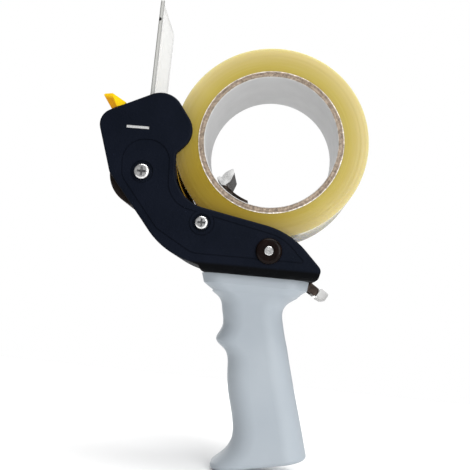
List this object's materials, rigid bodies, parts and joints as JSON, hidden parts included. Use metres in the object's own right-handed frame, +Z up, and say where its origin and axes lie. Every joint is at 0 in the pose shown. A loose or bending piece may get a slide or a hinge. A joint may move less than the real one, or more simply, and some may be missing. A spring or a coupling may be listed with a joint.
{
  "type": "tape dispenser",
  "caption": "Pistol-grip packing-tape dispenser with a loaded roll, rubber roller, serrated blade with slide-on guard, smoothing flap and a sprung brake lever.",
  "frame": {"origin": "middle of the pistol grip, on the mid-plane between the two shells", "axes": "+X from the cutting head towards the thumb lever, +Y across the width towards the lever-arm side, +Z up along the height from butt to flap"},
  "size_m": [0.1544, 0.0658, 0.2676],
  "materials": {
    "black_shell": "fine satin moulding texture",
    "grey_grip": "smooth satin",
    "zinc_steel": "bright zinc plate",
    "lever_steel": "polished, nickel plated",
    "spring_steel": "drawn wire",
    "sheet_steel": "cold rolled sheet",
    "blade_steel": "ground, fine teeth",
    "brown_cap": "gloss, domed",
    "yellow_guard": "satin gloss",
    "clear_flap": "translucent, slightly frosted",
    "roller_rubber": "ground rubber",
    "hub_plastic": "plain moulding",
    "nylon": "plain nylon",
    "core_board": "wound board, pale liner",
    "tape_film": "wound clear film with yellowed adhesive"
  },
  "bodies": {
    "housing": {"near_shell": "black_shell", "far_shell": "black_shell", "grip_half_near": "grey_grip", "grip_half_far": "grey_grip", "grip_screws": "zinc_steel", "roller_axle": "zinc_steel", "body_bolt": "zinc_steel", "shaft_nuts": "zinc_steel", "body_spacer": "nylon", "pivot_pin": "zinc_steel", "pivot_cap_near": "brown_cap", "pivot_cap_far": "brown_cap", "blade_carrier": "sheet_steel", "blade": "blade_steel", "blade_rivets": "zinc_steel", "flap_rod": "zinc_steel", "flap_spring": "spring_steel", "lever_spring": "spring_steel"},
    "roller": {"roller_sleeve": "roller_rubber", "roller_hub": "hub_plastic", "roller_bushes": "nylon"},
    "lever": {"lever_arm": "lever_steel", "lever_shoe": "lever_steel", "lever_barrel": "lever_steel", "lever_tail": "lever_steel", "thumb_bar": "lever_steel"},
    "tape_roll": {"tape_core": "core_board", "tape_windings": "tape_film"},
    "flap": {"smoothing_flap": "clear_flap"},
    "guard": {"blade_guard": "yellow_guard"}
  },
  "joints": [
    {"name": "roller_spin", "type": "hinge", "parent": "housing", "child": "roller", "pos_m": [-0.0743, 0, 0.1069], "axis": [0, 1, 0], "continuous": true},
    {"name": "lever_pivot", "type": "hinge", "parent": "housing", "child": "lever", "pos_m": [0.0012, 0, 0.0684], "axis": [0, 1, 0], "range_deg": [0, 8], "stiffness_Nm_per_rad": 0.6, "springref_deg": -20.05},
    {"name": "tape_roll_spin", "type": "hinge", "parent": "lever", "child": "tape_roll", "pos_m": [-0.0033, 0, 0.1317], "axis": [0, 1, 0], "continuous": true},
    {"name": "flap_bend", "type": "hinge", "parent": "housing", "child": "flap", "pos_m": [-0.0726, 0, 0.145], "axis": [0, 1, 0], "range_deg": [-25, 15], "stiffness_Nm_per_rad": 0.05},
    {"name": "guard_slide", "type": "slide", "parent": "housing", "child": "guard", "axis": [-0.4493, 0, 0.8934], "range_m": [0, 0.012]}
  ]
}
